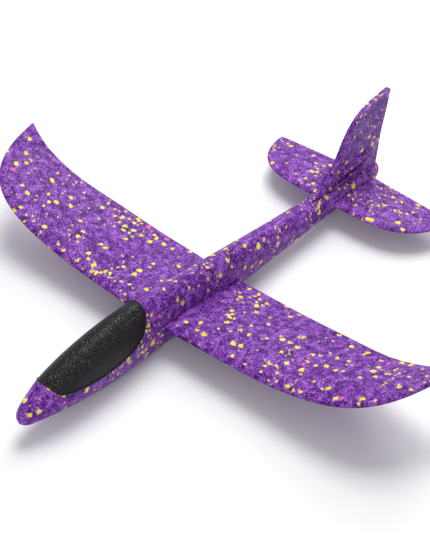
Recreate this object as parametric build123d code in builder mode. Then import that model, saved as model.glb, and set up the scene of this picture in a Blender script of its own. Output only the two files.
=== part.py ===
"""A 490 mm hand-launch glider moulded in expanded polypropylene foam.

Frame: millimetres, +X out of the nose, +Y to the port wing tip, +Z up.
The origin is on the floor, under the middle of the glider's box.
Five pieces: fuselage with its fin, one-piece wing, one-piece tailplane, canopy, nose weight.
"""

import os
from math import cos, hypot, pi, sin

from build123d import *

# ---------------------------------------------------------------- driving dimensions
span = 490.0
length = 470.0
tail_span = 205.0

# fuselage ribs: place along X, top, half width, underside
hull_ribs = [
    (235.0, 24.4, 2.0, 20.6),
    (233.6, 27.4, 5.2, 17.8),
    (230.0, 30.4, 7.8, 16.2),
    (221.0, 35.4, 10.8, 14.4),
    (205.0, 43.0, 14.5, 11.6),
    (190.0, 48.2, 16.2, 8.6),
    (175.0, 52.1, 17.1, 6.0),
    (139.0, 58.4, 17.1, 0.6),
    (104.0, 60.3, 15.3, -1.2),
    (63.0, 56.6, 13.3, -1.2),
    (23.0, 52.7, 12.8, -1.2),
    (-18.0, 48.2, 12.5, 3.4),
    (-68.0, 42.7, 11.8, 6.6),
    (-119.0, 38.1, 10.8, 9.0),
    (-164.0, 34.4, 9.4, 10.4),
    (-200.0, 32.4, 8.6, 9.8),
    (-217.0, 31.0, 7.2, 10.6),
    (-225.5, 28.2, 4.8, 13.4),
    (-229.0, 22.8, 1.6, 18.8),
]
rib_fullness = 0.62  # 0.55 is an ellipse, more is squarer

# wing, seen from above: the edges run straight to the tip curves
wing_root_leading = 83.3
wing_root_trailing = -12.7
wing_tip = (-10.7, span / 2)
wing_leading_curve = [(80.6, 122.6), (78.7, 199.5), (77.5, 228.0), wing_tip]
wing_trailing_curve = [(-12.4, 124.6), (-12.4, 149.0), (6.9, 206.0), wing_tip]
wing_rib_spans = [0, 60, 120, 150, 175, 195, 210, 222, 231, 238, 242.5, span / 2]
wing_thickness = 8.6
wing_under_height = 17.0  # underside at the trailing edge of the root
wing_incidence = 2.5
dihedral_slope = 0.0508
tip_rise_start = 93.0
tip_rise_factor = 0.0016

# tailplane
tail_root_leading = -149.0
tail_root_trailing = -216.5
tail_tip = (-209.5, tail_span / 2)
tail_leading_curve = [(-149.2, 15.0), (-149.9, 50.9), (-145.1, 94.8), tail_tip]
tail_rib_spans = [0, 15, 35, 55, 70, 82, 91, 97, 100.5, tail_span / 2]
least_chord = 3.0
tail_thickness = 5.0
tail_under_height = 17.4
tail_incidence = 3.4
slot_gap = 0.3

# the second tailplane slot, tilted for stunt flight, in a pod at the foot of the fin
stunt_slot_middle = (-181.5, 0, 46.2)
stunt_slot_tilt = 10.5
pod_length = 76.0
pod_width = 15.0

fin_half_thickness = 2.6
fin_front = [
    (-104, 34), (-128, 41), (-147, 50), (-160.5, 60.5), (-168, 73), (-176.5, 86),
    (-188, 96.8), (-204, 103.9), (-220, 106.8), (-234.9, 108.6),
]
fin_back = [(-234.9, 108.6), (-232, 91), (-226.4, 66), (-223.6, 42), (-221, 24)]

# canopy: a thin black shell let into a rebate over the nose
canopy_edge = [
    (208.6, 44), (205.8, 40), (202.6, 36.4), (194.4, 33), (179.3, 29.9),
    (156.8, 27.4), (134, 28.7), (115.1, 34.9), (106, 45.8), (101.2, 62),
]
canopy_middle = (155.0, 60.0)
canopy_top = 70.0
canopy_wall = 2.0
canopy_gap = 0.35

cut_reach = 30.0  # half the width of a cut that goes right through the fuselage

weight_size = (16.0, 9.0, 5.8)
weight_middle = (179.0, 0, 30.0)
weight_gap = 0.25
weight_edge = 0.8


# ---------------------------------------------------------------- shapes used more than once
def oval_rib(place, top, half_width, under):
    """One rib of the fuselage: a slightly squared oval, four curves that meet square to the axes."""
    middle = (top + under) / 2
    half_height = (top - under) / 2
    corners = [(half_width, 0), (0, half_height), (-half_width, 0), (0, -half_height)]
    with BuildSketch(Plane.YZ.offset(place)) as rib:
        with BuildLine():
            for (y1, z1), (y2, z2) in zip(corners, corners[1:] + corners[:1]):
                Bezier(
                    (y1, middle + z1),
                    (y1 + rib_fullness * y2, middle + z1 + rib_fullness * z2),
                    (y2 + rib_fullness * y1, middle + z2 + rib_fullness * z1),
                    (y2, middle + z2),
                )
        make_face()
    return rib.sketch.face()


def hull(inset=0.0):
    """The fuselage's outer form, or the same form drawn in by inset."""
    with BuildPart() as form:
        sections = []
        for place, top, half_width, under in hull_ribs:
            if inset == 0 or half_width > 3 * inset:
                sections.append(oval_rib(place, top - inset, half_width - inset, under + inset))
        loft(sections)
    return form.part


def curve_place(curve, distance_out):
    """Where a Bezier curve of four points reaches a distance out along the span."""
    low, high = 0.0, 1.0
    for _ in range(40):
        t = (low + high) / 2
        weights = ((1 - t) ** 3, 3 * (1 - t) ** 2 * t, 3 * (1 - t) * t * t, t**3)
        out = sum(w * point[1] for w, point in zip(weights, curve))
        low, high = (t, high) if out < distance_out else (low, t)
    return sum(w * point[0] for w, point in zip(weights, curve))


def edge_place(root, curve, distance_out):
    """Where an edge lies: a straight run from the root, then its tip curve."""
    first = curve[0]
    if distance_out <= first[1]:
        return root + (first[0] - root) * distance_out / first[1]
    return curve_place(curve, distance_out)


def flat_bottomed_section(chord, thickness):
    """A foam wing section: flat underside, blunt rounded nose, thin square back edge.

    It runs from its nose at x = 0 back to x = -chord, with its underside on y = 0.
    """
    back = 0.2 * thickness
    crest = thickness - back
    Spline([
        (-chord, back),
        (-0.75 * chord, back + 0.42 * crest),
        (-0.52 * chord, back + 0.79 * crest),
        (-0.3 * chord, thickness),
        (-0.12 * chord, 0.94 * thickness),
        (-0.22 * thickness, 0.72 * thickness),
        (0, 0.42 * thickness),
        (-0.22 * thickness, 0.12 * thickness),
        (-0.8 * thickness, 0),
    ])
    Line((-0.8 * thickness, 0), (-chord, 0))
    Line((-chord, 0), (-chord, back))


def rib_plane(leading, distance_out, height, incidence):
    """A plane square to the span, its origin under the nose of the section."""
    tilt = incidence * pi / 180
    return Plane(origin=(leading, distance_out, height), x_dir=(cos(tilt), 0, sin(tilt)), z_dir=(0, -1, 0))


def wing_rise(distance_out):
    """How far the wing has climbed above its middle at a distance out."""
    return dihedral_slope * distance_out + tip_rise_factor * max(0, distance_out - tip_rise_start) ** 2


def canopy_profile(inset):
    """The canopy seen from the side, with its lower edge drawn in by inset."""
    edge = []
    for x, z in canopy_edge:
        away = hypot(canopy_middle[0] - x, canopy_middle[1] - z)
        edge.append((x + (canopy_middle[0] - x) * inset / away, z + (canopy_middle[1] - z) * inset / away))
    with BuildSketch(Plane.XZ) as profile:
        with BuildLine():
            Spline(edge)
            Polyline(edge[-1], (edge[-1][0], canopy_top), (edge[0][0], canopy_top), edge[0])
        make_face()
    return profile.sketch


def tail_slot(plane):
    """The outline of a tailplane slot: the tailplane's root section with room all round it."""
    roomy = plane.move(Location((slot_gap, -slot_gap * 2 / 3, 0)))
    with BuildSketch(roomy) as outline:
        with BuildLine():
            flat_bottomed_section(tail_chord + 2 * slot_gap, tail_thickness + 4 * slot_gap)
        make_face()
    return outline.sketch


# ---------------------------------------------------------------- wing
wing_chord = wing_root_leading - wing_root_trailing
wing_nose_height = wing_under_height + wing_chord * sin(wing_incidence * pi / 180)

with BuildPart() as wing:
    ribs = []
    for side in [-out for out in wing_rib_spans[:0:-1]] + wing_rib_spans:
        out = abs(side)
        trailing = edge_place(wing_root_trailing, wing_trailing_curve, out)
        chord = max(edge_place(wing_root_leading, wing_leading_curve, out) - trailing, least_chord)
        leading = trailing + chord
        thickness = wing_thickness * (chord / wing_chord) ** 0.6
        swept_back = (wing_root_leading - leading) * sin(wing_incidence * pi / 180)
        height = wing_nose_height + wing_rise(out) - swept_back
        with BuildSketch(rib_plane(leading, side, height, wing_incidence)) as rib:
            with BuildLine():
                flat_bottomed_section(chord, thickness)
            make_face()
        ribs.append(rib.sketch.face())
    loft(ribs)
wing.part.label = "wing"

# ---------------------------------------------------------------- tailplane
tail_chord = tail_root_leading - tail_root_trailing
tail_nose_height = tail_under_height + tail_chord * sin(tail_incidence * pi / 180)
tail_root_plane = rib_plane(tail_root_leading, 0, tail_nose_height, tail_incidence)

with BuildPart() as tailplane:
    ribs = []
    for side in [-out for out in tail_rib_spans[:0:-1]] + tail_rib_spans:
        out = abs(side)
        trailing = tail_root_trailing + (tail_tip[0] - tail_root_trailing) * out / tail_tip[1]
        chord = max(edge_place(tail_root_leading, tail_leading_curve, out) - trailing, least_chord)
        leading = trailing + chord
        thickness = tail_thickness * (chord / tail_chord) ** 0.6
        height = tail_nose_height - (tail_root_leading - leading) * sin(tail_incidence * pi / 180)
        with BuildSketch(rib_plane(leading, side, height, tail_incidence)) as rib:
            with BuildLine():
                flat_bottomed_section(chord, thickness)
            make_face()
        ribs.append(rib.sketch.face())
    loft(ribs)
tailplane.part.label = "tailplane"

# ---------------------------------------------------------------- canopy
with BuildPart() as canopy_space:
    extrude(canopy_profile(0), amount=cut_reach, both=True)

with BuildPart() as canopy:
    extrude(canopy_profile(canopy_gap), amount=cut_reach, both=True)
    add(hull(), mode=Mode.INTERSECT)
    add(hull(canopy_wall), mode=Mode.SUBTRACT)
canopy.part.label = "canopy"

# ---------------------------------------------------------------- nose weight
with BuildPart() as nose_weight:
    with Locations(weight_middle):
        Box(*weight_size)
    chamfer(nose_weight.edges(), weight_edge)
nose_weight.part.label = "nose_weight"

# ---------------------------------------------------------------- fuselage and fin
with BuildPart() as canopy_deck:
    add(hull(canopy_wall + canopy_gap))
    add(canopy_space.part, mode=Mode.INTERSECT)

stunt_tilt = stunt_slot_tilt * pi / 180
stunt_plane = Plane(
    origin=(
        stunt_slot_middle[0] + tail_chord / 2 * cos(stunt_tilt),
        0,
        stunt_slot_middle[2] - tail_chord / 2 * sin(stunt_tilt) - tail_thickness / 2,
    ),
    x_dir=(cos(stunt_tilt), 0, -sin(stunt_tilt)),
    z_dir=(0, -1, 0),
)
pod_plane = Plane(
    origin=stunt_slot_middle,
    x_dir=(-cos(stunt_tilt), 0, sin(stunt_tilt)),
    z_dir=(sin(stunt_tilt), 0, cos(stunt_tilt)),
)

with BuildPart() as pod:
    with BuildSketch(pod_plane):
        Ellipse(pod_length / 2, pod_width / 2)
        Rectangle(pod_length, pod_width, align=(Align.CENTER, Align.MAX), mode=Mode.SUBTRACT)
    revolve(axis=Axis(stunt_slot_middle, pod_plane.x_dir))

with BuildPart() as fuselage:
    add(hull())
    with BuildSketch(Plane.XZ):
        with BuildLine():
            Spline(fin_front)
            Spline(fin_back)
            Line(fin_back[-1], fin_front[0])
        make_face()
    extrude(amount=fin_half_thickness, both=True)
    add(pod.part)
    add(canopy_space.part, mode=Mode.SUBTRACT)
    add(canopy_deck.part)
    # the belly is flattened where the glider rests
    with Locations((0, 0, -10)):
        Box(2 * length, 80, 20, mode=Mode.SUBTRACT)
    # slots: wing, tailplane, second tailplane position
    add(wing.part, mode=Mode.SUBTRACT)
    extrude(tail_slot(tail_root_plane), amount=cut_reach, both=True, mode=Mode.SUBTRACT)
    extrude(tail_slot(stunt_plane), amount=cut_reach, both=True, mode=Mode.SUBTRACT)
    # pit for the nose weight, open under the canopy
    pit_top = 60.0
    pit_floor = weight_middle[2] - weight_size[2] / 2
    with Locations((weight_middle[0], 0, (pit_top + pit_floor) / 2)):
        Box(weight_size[0] + 2 * weight_gap, weight_size[1] + 2 * weight_gap, pit_top - pit_floor,
            mode=Mode.SUBTRACT)
fuselage.part.label = "fuselage"

# ---------------------------------------------------------------- files
os.makedirs("parts", exist_ok=True)
export_step(fuselage.part, "parts/fuselage.step")
export_step(wing.part, "parts/wing.step")
export_step(tailplane.part, "parts/tailplane.step")
export_step(canopy.part, "parts/canopy.step")
export_step(nose_weight.part, "parts/nose_weight.step")
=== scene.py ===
import math
import bpy
from mathutils import Matrix, Vector


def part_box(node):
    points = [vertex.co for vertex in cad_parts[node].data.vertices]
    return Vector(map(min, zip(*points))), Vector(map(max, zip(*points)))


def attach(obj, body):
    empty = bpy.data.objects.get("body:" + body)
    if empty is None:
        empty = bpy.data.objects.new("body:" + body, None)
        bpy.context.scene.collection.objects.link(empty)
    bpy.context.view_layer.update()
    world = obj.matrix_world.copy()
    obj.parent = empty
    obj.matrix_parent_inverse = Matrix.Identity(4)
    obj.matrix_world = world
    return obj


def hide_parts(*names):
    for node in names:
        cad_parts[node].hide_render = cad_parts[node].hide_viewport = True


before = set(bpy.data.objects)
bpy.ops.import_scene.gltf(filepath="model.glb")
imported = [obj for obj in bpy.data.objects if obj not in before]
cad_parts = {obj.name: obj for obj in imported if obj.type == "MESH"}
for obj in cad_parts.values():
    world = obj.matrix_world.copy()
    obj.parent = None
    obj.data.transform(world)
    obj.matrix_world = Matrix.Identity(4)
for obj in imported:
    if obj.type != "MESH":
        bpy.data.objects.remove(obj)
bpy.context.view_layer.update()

# ---------------------------------------------------------------------------------------------
# Fuselage: one moulding of expanded polypropylene beads, nose to pod, with the fin grown on it.
# The two halves of the mould close along the middle, so every outer edge comes out rounded.
# The foam is coloured through, dark and pale violet beads pressed together with yellow chips.
MM = 0.001
mould_edge_angle = math.radians(38)


def bare_copy(node, name):
    """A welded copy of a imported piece, smooth where it curves, left selected and active."""
    bpy.ops.object.select_all(action="DESELECT")
    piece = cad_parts[node].copy()
    piece.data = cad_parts[node].data.copy()
    for key in list(piece.keys()):
        if key.startswith("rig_"):
            del piece[key]
    piece.parent = None
    piece.hide_render = piece.hide_viewport = False
    piece.name = name
    piece.data.name = name
    piece.data.materials.clear()
    bpy.context.scene.collection.objects.link(piece)
    piece.select_set(True)
    bpy.context.view_layer.objects.active = piece
    bpy.ops.object.mode_set(mode="EDIT")
    bpy.ops.mesh.select_all(action="SELECT")
    bpy.ops.mesh.remove_doubles(threshold=0.00002)
    bpy.ops.mesh.dissolve_degenerate(threshold=0.00002)
    bpy.ops.mesh.select_all(action="DESELECT")
    bpy.ops.object.mode_set(mode="OBJECT")
    if piece.data.attributes.get("custom_normal"):
        piece.data.attributes.remove(piece.data.attributes["custom_normal"])
    bpy.ops.object.shade_smooth_by_angle(angle=mould_edge_angle)
    return piece


def node_at(tree, kind, place, **settings):
    made = tree.nodes.new(kind)
    made.location = place
    for key, value in settings.items():
        setattr(made, key, value)
    return made


def bead_foam_group():
    """Pressed beads of foam: colour, gloss and skin height, all from the place in the foam."""
    group = bpy.data.node_groups.new("pressed_bead_foam", "ShaderNodeTree")
    face = group.interface
    face.new_socket("Place", in_out="INPUT", socket_type="NodeSocketVector")
    for label, start in (("Chip amount", 1.0), ("Marbling", 1.0), ("Painted highlight", 0.0)):
        face.new_socket(label, in_out="INPUT", socket_type="NodeSocketFloat").default_value = start
    face.new_socket("Colour", in_out="OUTPUT", socket_type="NodeSocketColor")
    face.new_socket("Roughness", in_out="OUTPUT", socket_type="NodeSocketFloat")
    face.new_socket("Height", in_out="OUTPUT", socket_type="NodeSocketFloat")
    link = group.links.new
    start = node_at(group, "NodeGroupInput", (-1600, 0))
    end = node_at(group, "NodeGroupOutput", (1500, 0))
    to_mm = node_at(group, "ShaderNodeVectorMath", (-1400, 0), operation="SCALE")
    to_mm.inputs["Scale"].default_value = 1000.0
    link(start.outputs["Place"], to_mm.inputs[0])

    # fibrous marbling: two sizes of warped noise, dark violet to pale lavender
    coarse = node_at(group, "ShaderNodeTexNoise", (-1100, 500))
    coarse.inputs["Scale"].default_value = 0.16
    coarse.inputs["Detail"].default_value = 3.0
    fine = node_at(group, "ShaderNodeTexNoise", (-1100, 250))
    fine.inputs["Scale"].default_value = 0.80
    fine.inputs["Detail"].default_value = 6.0
    fine.inputs["Roughness"].default_value = 0.68
    fine.inputs["Distortion"].default_value = 1.4
    link(to_mm.outputs[0], coarse.inputs["Vector"])
    link(to_mm.outputs[0], fine.inputs["Vector"])
    both = node_at(group, "ShaderNodeMath", (-850, 350), operation="MULTIPLY_ADD")
    both.inputs[1].default_value = 0.3
    link(coarse.outputs["Fac"], both.inputs[0])
    link(fine.outputs["Fac"], both.inputs[2])
    centred = node_at(group, "ShaderNodeMath", (-680, 350), operation="SUBTRACT")
    centred.inputs[1].default_value = 0.65
    link(both.outputs[0], centred.inputs[0])
    spread = node_at(group, "ShaderNodeMath", (-520, 350), operation="MULTIPLY_ADD")
    spread.inputs[2].default_value = 0.5
    link(centred.outputs[0], spread.inputs[0])
    link(start.outputs["Marbling"], spread.inputs[1])
    marble = node_at(group, "ShaderNodeValToRGB", (-340, 350))
    stops = marble.color_ramp.elements
    stops[0].position, stops[0].color = 0.27, (0.018, 0.001, 0.070, 1)
    stops[1].position, stops[1].color = 0.76, (0.470, 0.200, 0.700, 1)
    for where, tint in ((0.41, (0.066, 0.002, 0.195, 1)), (0.51, (0.155, 0.006, 0.330, 1)),
                        (0.62, (0.270, 0.040, 0.480, 1))):
        stops.new(where).color = tint
    link(spread.outputs[0], marble.inputs["Fac"])

    # yellow chips: round-cornered shreds, some alone and some in small swarms
    wobble = node_at(group, "ShaderNodeTexNoise", (-1100, -100))
    wobble.inputs["Scale"].default_value = 0.5
    wobble.inputs["Detail"].default_value = 1.0
    link(to_mm.outputs[0], wobble.inputs["Vector"])
    warp = node_at(group, "ShaderNodeVectorMath", (-900, -100), operation="MULTIPLY_ADD")
    warp.inputs[1].default_value = (4.2, 4.2, 4.2)
    link(wobble.outputs["Color"], warp.inputs[0])
    link(to_mm.outputs[0], warp.inputs[2])
    crowd = node_at(group, "ShaderNodeTexNoise", (-1100, -350))
    crowd.inputs["Scale"].default_value = 0.022
    crowd.inputs["Detail"].default_value = 1.0
    link(to_mm.outputs[0], crowd.inputs["Vector"])
    chips = []
    for row, (pitch, least, most) in enumerate(((7.8, 0.12, 0.350), (5.0, 0.06, 0.400))):
        cells = node_at(group, "ShaderNodeTexVoronoi", (-700, -150 - 320 * row))
        cells.inputs["Scale"].default_value = 1 / pitch
        link(warp.outputs[0], cells.inputs["Vector"])
        pick = node_at(group, "ShaderNodeSeparateColor", (-520, -250 - 320 * row))
        link(cells.outputs["Color"], pick.inputs[0])
        size = node_at(group, "ShaderNodeMapRange", (-350, -150 - 320 * row))
        size.inputs["From Min"].default_value = 0.20
        size.inputs["To Min"].default_value = least
        size.inputs["To Max"].default_value = most
        link(pick.outputs[0], size.inputs["Value"])
        if row:
            swarm = node_at(group, "ShaderNodeMapRange", (-350, -350 - 320 * row))
            swarm.inputs["From Min"].default_value = 0.50
            swarm.inputs["From Max"].default_value = 0.62
            link(crowd.outputs["Fac"], swarm.inputs["Value"])
            sized = node_at(group, "ShaderNodeMath", (-180, -250 - 320 * row), operation="MULTIPLY")
            link(size.outputs[0], sized.inputs[0])
            link(swarm.outputs[0], sized.inputs[1])
            size = sized
        scaled = node_at(group, "ShaderNodeMath", (-20, -150 - 320 * row), operation="MULTIPLY")
        link(size.outputs[0], scaled.inputs[0])
        link(start.outputs["Chip amount"], scaled.inputs[1])
        inside = node_at(group, "ShaderNodeMath", (140, -150 - 320 * row), operation="SUBTRACT")
        link(scaled.outputs[0], inside.inputs[0])
        link(cells.outputs["Distance"], inside.inputs[1])
        crisp = node_at(group, "ShaderNodeMapRange", (300, -150 - 320 * row))
        crisp.inputs["From Min"].default_value = -0.006
        crisp.inputs["From Max"].default_value = 0.014
        link(inside.outputs[0], crisp.inputs["Value"])
        chips.append((crisp, pick))
    chip = node_at(group, "ShaderNodeMath", (480, -250), operation="MAXIMUM")
    link(chips[0][0].outputs[0], chip.inputs[0])
    link(chips[1][0].outputs[0], chip.inputs[1])
    hue = node_at(group, "ShaderNodeValToRGB", (480, -450))
    hue.color_ramp.interpolation = "CONSTANT"
    tones = hue.color_ramp.elements
    tones[0].position, tones[0].color = 0.0, (0.830, 0.720, 0.060, 1)
    tones[1].position, tones[1].color = 0.965, (0.750, 0.120, 0.380, 1)
    for where, tint in ((0.35, (0.880, 0.790, 0.100, 1)), (0.7, (0.780, 0.620, 0.040, 1))):
        tones.new(where).color = tint
    link(chips[0][1].outputs[1], hue.inputs["Fac"])
    chipped = node_at(group, "ShaderNodeMix", (800, 200), data_type="RGBA")
    link(chip.outputs[0], chipped.inputs["Factor"])
    link(marble.outputs["Color"], chipped.inputs["A"])
    link(hue.outputs["Color"], chipped.inputs["B"])

    # bead joints: a fine dark net that also dips, and a faint grain on the moulded skin
    beads = node_at(group, "ShaderNodeTexVoronoi", (-700, 850), feature="DISTANCE_TO_EDGE")
    beads.inputs["Scale"].default_value = 0.42
    link(warp.outputs[0], beads.inputs["Vector"])
    joint = node_at(group, "ShaderNodeMapRange", (-500, 850))
    joint.inputs["From Max"].default_value = 0.085
    link(beads.outputs["Distance"], joint.inputs["Value"])
    netted = node_at(group, "ShaderNodeMapRange", (-300, 850))
    netted.inputs["To Min"].default_value = 0.80
    link(joint.outputs[0], netted.inputs["Value"])
    shaded = node_at(group, "ShaderNodeMix", (1000, 300), data_type="RGBA", blend_type="MULTIPLY")
    shaded.inputs["Factor"].default_value = 1.0
    link(chipped.outputs["Result"], shaded.inputs["A"])
    link(netted.outputs[0], shaded.inputs["B"])
    # painted highlight: mixes the colour towards a fixed pale lavender, as far as the input asks
    painted_highlight_mix = node_at(group, "ShaderNodeMix", (1200, 300), data_type="RGBA")
    painted_highlight_mix.inputs["B"].default_value = (0.55, 0.32, 0.78, 1)
    link(start.outputs["Painted highlight"], painted_highlight_mix.inputs["Factor"])
    link(shaded.outputs["Result"], painted_highlight_mix.inputs["A"])
    link(painted_highlight_mix.outputs["Result"], end.inputs["Colour"])
    gloss = node_at(group, "ShaderNodeMapRange", (1000, 0))
    gloss.inputs["To Min"].default_value = 0.30
    gloss.inputs["To Max"].default_value = 0.50
    link(fine.outputs["Fac"], gloss.inputs["Value"])
    link(gloss.outputs[0], end.inputs["Roughness"])
    grain = node_at(group, "ShaderNodeMath", (1000, -250), operation="MULTIPLY_ADD")
    grain.inputs[1].default_value = 0.45
    link(fine.outputs["Fac"], grain.inputs[0])
    link(joint.outputs[0], grain.inputs[2])
    link(grain.outputs[0], end.inputs["Height"])
    return group


bead_foam = bead_foam_group()


def foam_finish(name, shift, chips=1.0, marbling=3.0, painted_highlight=0.0):
    """The foam's material, with its pattern moved so that no two pieces share one."""
    finish = bpy.data.materials.new(name)
    finish.use_nodes = True
    tree = finish.node_tree
    shader = tree.nodes["Principled BSDF"]
    shader.inputs["IOR"].default_value = 1.40
    shader.inputs["Specular IOR Level"].default_value = 0.24
    place = node_at(tree, "ShaderNodeTexCoord", (-900, 0))
    moved = node_at(tree, "ShaderNodeMapping", (-700, 0))
    moved.inputs["Location"].default_value = shift
    foam = node_at(tree, "ShaderNodeGroup", (-450, 0), node_tree=bead_foam)
    foam.inputs["Chip amount"].default_value = chips
    foam.inputs["Marbling"].default_value = marbling
    foam.inputs["Painted highlight"].default_value = painted_highlight
    skin = node_at(tree, "ShaderNodeBump", (-200, -250))
    skin.inputs["Strength"].default_value = 0.55
    skin.inputs["Distance"].default_value = 0.0004
    tree.links.new(place.outputs["Object"], moved.inputs["Vector"])
    tree.links.new(moved.outputs["Vector"], foam.inputs["Place"])
    tree.links.new(foam.outputs["Colour"], shader.inputs["Base Color"])
    tree.links.new(foam.outputs["Roughness"], shader.inputs["Roughness"])
    tree.links.new(foam.outputs["Height"], skin.inputs["Height"])
    tree.links.new(skin.outputs["Normal"], shader.inputs["Normal"])
    return finish


fuselage = bare_copy("fuselage", "fuselage_moulding")
fuselage.data.materials.append(foam_finish("fuselage_bead_foam", (0.0, 0.0, 0.0)))
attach(fuselage, "fuselage")
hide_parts("fuselage")

# ---------------------------------------------------------------------------------------------
# Parting bead: the hair-thin raised line where the two halves of the fuselage mould met.
# It runs over the nose, along the spine and round the fin, in the same foam, moulded in one.
# It stops short of the canopy's well, the wing's slot and the two tail slots.
parting_half_width = 0.45 * MM
parting_height = 0.35 * MM
nose_well_floor = 26 * MM
wing_slot_zone = ((-20 * MM, 90 * MM), (12 * MM, 35 * MM))
tail_slot_zone = ((-222 * MM, -142 * MM), (13 * MM, 52 * MM))
mould_wall_tilt = 0.8
canopy_low, canopy_high = (corner.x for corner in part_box("canopy"))
canopy_clearance = 3 * MM


def within(zone, point):
    """Whether a point lies in a side-view zone, given as its reach along and its reach up."""
    (back_end, front_end), (low, high) = zone
    return back_end < point.x < front_end and low < point.z < high


parting = bare_copy("fuselage", "parting_bead")
for side in (1, -1):
    bpy.ops.object.mode_set(mode="EDIT")
    bpy.ops.mesh.select_all(action="SELECT")
    bpy.ops.mesh.bisect(plane_co=(0, side * parting_half_width, 0), plane_no=(0, side, 0),
                        clear_outer=True)
    bpy.ops.object.mode_set(mode="OBJECT")
bpy.ops.object.mode_set(mode="EDIT")
bpy.ops.mesh.select_all(action="DESELECT")
bpy.ops.object.mode_set(mode="OBJECT")
nose_well = ((canopy_low - canopy_clearance, canopy_high + canopy_clearance),
             (nose_well_floor, 1.0))
for face in parting.data.polygons:
    centre = face.center
    mould_wall = abs(face.normal.y) > mould_wall_tilt
    face.select = mould_wall or any(
        within(zone, centre) for zone in (nose_well, wing_slot_zone, tail_slot_zone))
bpy.ops.object.mode_set(mode="EDIT")
bpy.ops.mesh.select_mode(type="FACE")
bpy.ops.mesh.delete(type="FACE")
bpy.ops.object.mode_set(mode="OBJECT")
bead = parting.modifiers.new("raised", "SOLIDIFY")
bead.thickness = parting_height
bead.offset = 1.0
bead.use_even_offset = False
bpy.ops.object.modifier_apply(modifier="raised")
# The bead's colour is lifted towards pale lavender, a painted highlight along the seam.
parting.data.materials.append(
    foam_finish("parting_bead_foam", (0.0, 0.0, 0.0), chips=0.0, marbling=0.7, painted_highlight=0.16))
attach(parting, "fuselage")

# ---------------------------------------------------------------------------------------------
# Wing: one foam moulding from tip to tip, pushed through its slot in the fuselage.
# Its leading edge is full and round, the trailing edge thin, the tips swept and turned up.
# The mould has scored an aileron outline on the top of each half, darkened as painted shade in the
# groove, and its two halves left a seam along the front edge, drawn as a dark line of painted shade
# where it turns down.
aileron_hinge = 11.0 * MM
aileron_middle = 105.0 * MM
aileron_half_span = 45.0 * MM
scored_half_width = 0.45 * MM
# Front edge line: where the surface faces forward and turns a little downward, painted shade under
# the seam.
edge_line = bpy.data.node_groups.new("front_edge_line", "ShaderNodeTree")
edge_line.interface.new_socket("Facing", in_out="INPUT", socket_type="NodeSocketVector")
edge_line.interface.new_socket("Line", in_out="OUTPUT", socket_type="NodeSocketFloat")
start = node_at(edge_line, "NodeGroupInput", (-600, 0))
end = node_at(edge_line, "NodeGroupOutput", (400, 0))
parts = node_at(edge_line, "ShaderNodeSeparateXYZ", (-400, 0))
level = node_at(edge_line, "ShaderNodeMath", (-200, 100), operation="COMPARE")
level.inputs[1].default_value = -0.30
level.inputs[2].default_value = 0.16
ahead = node_at(edge_line, "ShaderNodeMath", (-200, -100), operation="GREATER_THAN")
ahead.inputs[1].default_value = 0.30
both = node_at(edge_line, "ShaderNodeMath", (100, 0), operation="MULTIPLY")
for a, b in ((start.outputs[0], parts.inputs[0]), (parts.outputs["Z"], level.inputs[0]),
             (parts.outputs["X"], ahead.inputs[0]), (level.outputs[0], both.inputs[0]),
             (ahead.outputs[0], both.inputs[1]), (both.outputs[0], end.inputs[0])):
    edge_line.links.new(a, b)


def darken_lines(finish, extra=None):
    """Draws the front edge line, and any extra line mask, darker over the foam's colour as painted
    shade.
    """
    tree = finish.node_tree
    facing = node_at(tree, "ShaderNodeNewGeometry", (-700, 500))
    front = node_at(tree, "ShaderNodeGroup", (-450, 500), node_tree=edge_line)
    tree.links.new(facing.outputs["Normal"], front.inputs["Facing"])
    mask = front.outputs["Line"]
    if extra:
        top = node_at(tree, "ShaderNodeSeparateXYZ", (-450, 750))
        up_side = node_at(tree, "ShaderNodeMath", (-250, 750), operation="GREATER_THAN")
        up_side.inputs[1].default_value = 0.3
        on_top = node_at(tree, "ShaderNodeMath", (-50, 750), operation="MULTIPLY")
        most = node_at(tree, "ShaderNodeMath", (150, 600), operation="MAXIMUM")
        tree.links.new(facing.outputs["Normal"], top.inputs[0])
        tree.links.new(top.outputs["Z"], up_side.inputs[0])
        tree.links.new(up_side.outputs[0], on_top.inputs[0])
        tree.links.new(extra, on_top.inputs[1])
        tree.links.new(mask, most.inputs[0])
        tree.links.new(on_top.outputs[0], most.inputs[1])
        mask = most.outputs[0]
    # painted shade: the masked lines are multiplied darker towards a grey violet
    depth = node_at(tree, "ShaderNodeMath", (300, 500), operation="MULTIPLY")
    depth.inputs[1].default_value = 0.62
    painted_shade_lines = node_at(tree, "ShaderNodeMix", (450, 400), data_type="RGBA", blend_type="MULTIPLY")
    painted_shade_lines.inputs["B"].default_value = (0.22, 0.18, 0.30, 1)
    shader = tree.nodes["Principled BSDF"]
    foam = shader.inputs["Base Color"].links[0].from_socket
    tree.links.new(mask, depth.inputs[0])
    tree.links.new(depth.outputs[0], painted_shade_lines.inputs["Factor"])
    tree.links.new(foam, painted_shade_lines.inputs["A"])
    tree.links.new(painted_shade_lines.outputs["Result"], shader.inputs["Base Color"])


wing = bare_copy("wing", "wing_moulding")
wing_foam = foam_finish("wing_bead_foam", (0.31, 0.17, 0.05))
tree = wing_foam.node_tree
place = node_at(tree, "ShaderNodeTexCoord", (-1300, 900))
xyz = node_at(tree, "ShaderNodeSeparateXYZ", (-1100, 900))
out = node_at(tree, "ShaderNodeMath", (-900, 1000), operation="ABSOLUTE")
tree.links.new(place.outputs["Object"], xyz.inputs[0])
tree.links.new(xyz.outputs["Y"], out.inputs[0])
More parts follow.
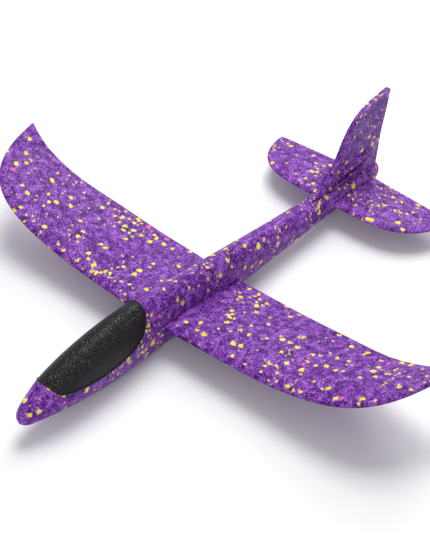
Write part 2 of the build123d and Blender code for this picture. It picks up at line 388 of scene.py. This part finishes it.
# Aileron outline: thin bands along the hinge and at both ends of each aileron, aft of the hinge,
# darkened in colour only as painted shade in the scored groove.
scored = []
for value, centre, reach in ((xyz.outputs["X"], aileron_hinge, scored_half_width),
                             (out.outputs[0], aileron_middle, aileron_half_span),
                             (out.outputs[0], aileron_middle + aileron_half_span, scored_half_width),
                             (out.outputs[0], aileron_middle - aileron_half_span, scored_half_width)):
    near = node_at(tree, "ShaderNodeMath", (-700, 1150 - 150 * len(scored)), operation="COMPARE")
    near.inputs[1].default_value = centre
    near.inputs[2].default_value = reach
    tree.links.new(value, near.inputs[0])
    scored.append(near)
aft = node_at(tree, "ShaderNodeMath", (-700, 1300), operation="LESS_THAN")
aft.inputs[1].default_value = aileron_hinge
hinge = node_at(tree, "ShaderNodeMath", (-500, 1200), operation="MULTIPLY")
ends = node_at(tree, "ShaderNodeMath", (-500, 1050), operation="MAXIMUM")
aft_ends = node_at(tree, "ShaderNodeMath", (-350, 1050), operation="MULTIPLY")
outline = node_at(tree, "ShaderNodeMath", (-200, 1100), operation="MAXIMUM")
for a, b in ((xyz.outputs["X"], aft.inputs[0]),
             (scored[0].outputs[0], hinge.inputs[0]), (scored[1].outputs[0], hinge.inputs[1]),
             (scored[2].outputs[0], ends.inputs[0]), (scored[3].outputs[0], ends.inputs[1]),
             (ends.outputs[0], aft_ends.inputs[0]), (aft.outputs[0], aft_ends.inputs[1]),
             (hinge.outputs[0], outline.inputs[0]), (aft_ends.outputs[0], outline.inputs[1])):
    tree.links.new(a, b)
darken_lines(wing_foam, outline.outputs[0])
wing.data.materials.append(wing_foam)
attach(wing, "fuselage")
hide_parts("wing")

# ---------------------------------------------------------------------------------------------
# Tailplane: one flat foam moulding held by friction in the lower tail slot.
# It pulls out sideways and goes back in the upper slot to make the glider loop.
tailplane = bare_copy("tailplane", "tailplane_moulding")
tailplane_foam = foam_finish("tailplane_bead_foam", (-0.2, 0.4, 0.11))
# Its front edge gets the same dark line of painted shade where it turns downward.
darken_lines(tailplane_foam)
tailplane.data.materials.append(tailplane_foam)
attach(tailplane, "tailplane")
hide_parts("tailplane")

# ---------------------------------------------------------------------------------------------
# Canopy: a separately moulded black shell let into the top of the nose, held by its fit.
# Its skin carries a fine leather-like grain from the mould and a low smooth border.
canopy = bare_copy("canopy", "canopy_shell")
black = bpy.data.materials.new("grained_black_canopy")
black.use_nodes = True
tree = black.node_tree
shader = tree.nodes["Principled BSDF"]
shader.inputs["IOR"].default_value = 1.42
shader.inputs["Specular IOR Level"].default_value = 0.40
place = node_at(tree, "ShaderNodeTexCoord", (-1200, 0))
cells = node_at(tree, "ShaderNodeTexVoronoi", (-950, 100), feature="DISTANCE_TO_EDGE")
cells.inputs["Scale"].default_value = 440.0
cells.inputs["Randomness"].default_value = 1.0
crease = node_at(tree, "ShaderNodeTexNoise", (-950, -200))
crease.inputs["Scale"].default_value = 260.0
crease.inputs["Detail"].default_value = 5.0
crease.inputs["Distortion"].default_value = 0.8
pebble = node_at(tree, "ShaderNodeMapRange", (-700, 100))
pebble.inputs["From Max"].default_value = 0.16
worn = node_at(tree, "ShaderNodeMath", (-500, 0), operation="MULTIPLY_ADD")
worn.inputs[1].default_value = 0.9
tint = node_at(tree, "ShaderNodeValToRGB", (-300, 200))
tint.color_ramp.elements[0].color = (0.0010, 0.0008, 0.0014, 1)
tint.color_ramp.elements[1].color = (0.0060, 0.0050, 0.0080, 1)
rough = node_at(tree, "ShaderNodeMapRange", (-300, -50))
rough.inputs["To Min"].default_value = 0.24
rough.inputs["To Max"].default_value = 0.42
grained = node_at(tree, "ShaderNodeBump", (-300, -300))
grained.inputs["Strength"].default_value = 0.85
grained.inputs["Distance"].default_value = 0.0004
for a, b in ((place.outputs["Object"], cells.inputs["Vector"]),
             (place.outputs["Object"], crease.inputs["Vector"]),
             (cells.outputs["Distance"], pebble.inputs["Value"]),
             (crease.outputs["Fac"], worn.inputs[0]),
             (pebble.outputs[0], worn.inputs[2]),
             (crease.outputs["Fac"], tint.inputs["Fac"]),
             (crease.outputs["Fac"], rough.inputs["Value"]),
             (worn.outputs[0], grained.inputs["Height"]),
             (tint.outputs["Color"], shader.inputs["Base Color"]),
             (rough.outputs[0], shader.inputs["Roughness"]),
             (grained.outputs["Normal"], shader.inputs["Normal"])):
    tree.links.new(a, b)
canopy.data.materials.append(black)
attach(canopy, "canopy")
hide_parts("canopy")

# ---------------------------------------------------------------------------------------------
# Canopy border: the smooth raised bead round the canopy's rim, moulded in one with the shell.
# It stiffens the edge and hides the gap to the foam.
rim_bead_radius = 0.7 * MM
rim_facing_out = 0.5
nose_axis_height = 30 * MM
shell = canopy.data
beside = {}
for face in shell.polygons:
    for key in face.edge_keys:
        beside.setdefault(key, []).append(face.normal)
rim_edges = []
for key, normals in beside.items():
    if len(normals) == 2 and normals[0].dot(normals[1]) < math.cos(mould_edge_angle):
        middle = (shell.vertices[key[0]].co + shell.vertices[key[1]].co) / 2
        outward = Vector((0, middle.y, middle.z - nose_axis_height)).normalized()
        if max(n.dot(outward) for n in normals) > rim_facing_out:
            rim_edges.append(key)
bpy.ops.object.select_all(action="DESELECT")
bpy.ops.mesh.primitive_plane_add(size=1)
rim = bpy.context.active_object
rim.name = rim.data.name = "canopy_border"
used = sorted({v for key in rim_edges for v in key})
renumbered = {v: i for i, v in enumerate(used)}
rim.data.clear_geometry()
rim.data.from_pydata([shell.vertices[v].co for v in used],
                     [(renumbered[a], renumbered[b]) for a, b in rim_edges], [])
bpy.ops.object.convert(target="CURVE")
rim = bpy.context.active_object
rim.data.bevel_depth = rim_bead_radius
rim.data.bevel_resolution = 2
bpy.ops.object.convert(target="MESH")
rim = bpy.context.active_object
bpy.ops.object.shade_smooth()
rim.data.materials.clear()
rim.data.materials.append(black)
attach(rim, "canopy")

# ---------------------------------------------------------------------------------------------
# Nose weight: a small steel slug glued in a pit under the canopy, so that the glider balances.
# It is cut from bar and tumbled, so its faces are grey, slightly mottled and faintly scratched.
steel = bpy.data.materials.new("tumbled_steel")
steel.use_nodes = True
tree = steel.node_tree
shader = tree.nodes["Principled BSDF"]
shader.inputs["Metallic"].default_value = 1.0
place = node_at(tree, "ShaderNodeTexCoord", (-900, 0))
drawn = node_at(tree, "ShaderNodeMapping", (-700, 0))
drawn.inputs["Scale"].default_value = (60.0, 900.0, 900.0)
scratch = node_at(tree, "ShaderNodeTexNoise", (-500, 0))
scratch.inputs["Scale"].default_value = 1.0
scratch.inputs["Detail"].default_value = 4.0
greys = node_at(tree, "ShaderNodeValToRGB", (-300, 100))
greys.color_ramp.elements[0].color = (0.22, 0.22, 0.23, 1)
greys.color_ramp.elements[1].color = (0.52, 0.52, 0.53, 1)
dull = node_at(tree, "ShaderNodeMapRange", (-300, -150))
dull.inputs["To Min"].default_value = 0.32
dull.inputs["To Max"].default_value = 0.55
for a, b in ((place.outputs["Object"], drawn.inputs["Vector"]),
             (drawn.outputs["Vector"], scratch.inputs["Vector"]),
             (scratch.outputs["Fac"], greys.inputs["Fac"]),
             (scratch.outputs["Fac"], dull.inputs["Value"]),
             (greys.outputs["Color"], shader.inputs["Base Color"]),
             (dull.outputs[0], shader.inputs["Roughness"])):
    tree.links.new(a, b)
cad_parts["nose_weight"].data.materials.clear()
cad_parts["nose_weight"].data.materials.append(steel)

# ---------------------------------------------------------------------------------------------
# The bench it lies on: a plain pale sweep, with one broad soft light above and two weak ones.
# None of this is part of the glider.
bpy.ops.object.select_all(action="DESELECT")
bpy.ops.mesh.primitive_plane_add(size=6.0, location=(0, 0, -0.0004))
bench = bpy.context.active_object
bench.name = "pale_bench"
pale = bpy.data.materials.new("pale_paper")
pale.use_nodes = True
pale.node_tree.nodes["Principled BSDF"].inputs["Base Color"].default_value = (0.86, 0.86, 0.87, 1)
pale.node_tree.nodes["Principled BSDF"].inputs["Roughness"].default_value = 0.9
bench.data.materials.append(pale)
room = bpy.data.worlds.new("soft_room")
room.use_nodes = True
room.node_tree.nodes["Background"].inputs["Color"].default_value = (1, 1, 1, 1)
room.node_tree.nodes["Background"].inputs["Strength"].default_value = 0.50
bpy.context.scene.world = room
bpy.context.scene.view_settings.view_transform = "Standard"
for name, place, aim, width, watts in (
        ("broad_light", (-0.5, -0.3, 1.6), (0, 0, 0), 1.0, 21),
        ("nose_light", (1.5, 0.7, 0.9), (0, 0, 0), 0.9, 6),
        ("back_light", (-1.3, -0.5, 1.1), (-0.1, 0, 0), 0.6, 9)):
    lamp = bpy.data.lights.new(name, "AREA")
    lamp.size = width
    lamp.energy = watts
    stand = bpy.data.objects.new(name, lamp)
    stand.location = place
    stand.rotation_euler = (Vector(aim) - Vector(place)).to_track_quat("-Z", "Y").to_euler()
    bpy.context.scene.collection.objects.link(stand)

# ---------------------------------------------------------------------------------------------
# Camera: above and ahead of the port side of the nose, with a long lens.
camera_data = bpy.data.cameras.new("camera")
camera_data.lens = 98.14
camera_data.sensor_width = 36.0
camera = bpy.data.objects.new("camera", camera_data)
right = Vector((-0.666904, 0.745012, 0.014031))
up = Vector((-0.471218, -0.436252, 0.766576))
back = Vector((0.577229, 0.504621, 0.642001))
camera.matrix_world = Matrix.Translation((0.738015, 0.640352, 0.851687)) @ Matrix(
    (right, up, back)).transposed().to_4x4()
bpy.context.scene.collection.objects.link(camera)
bpy.context.scene.camera = camera
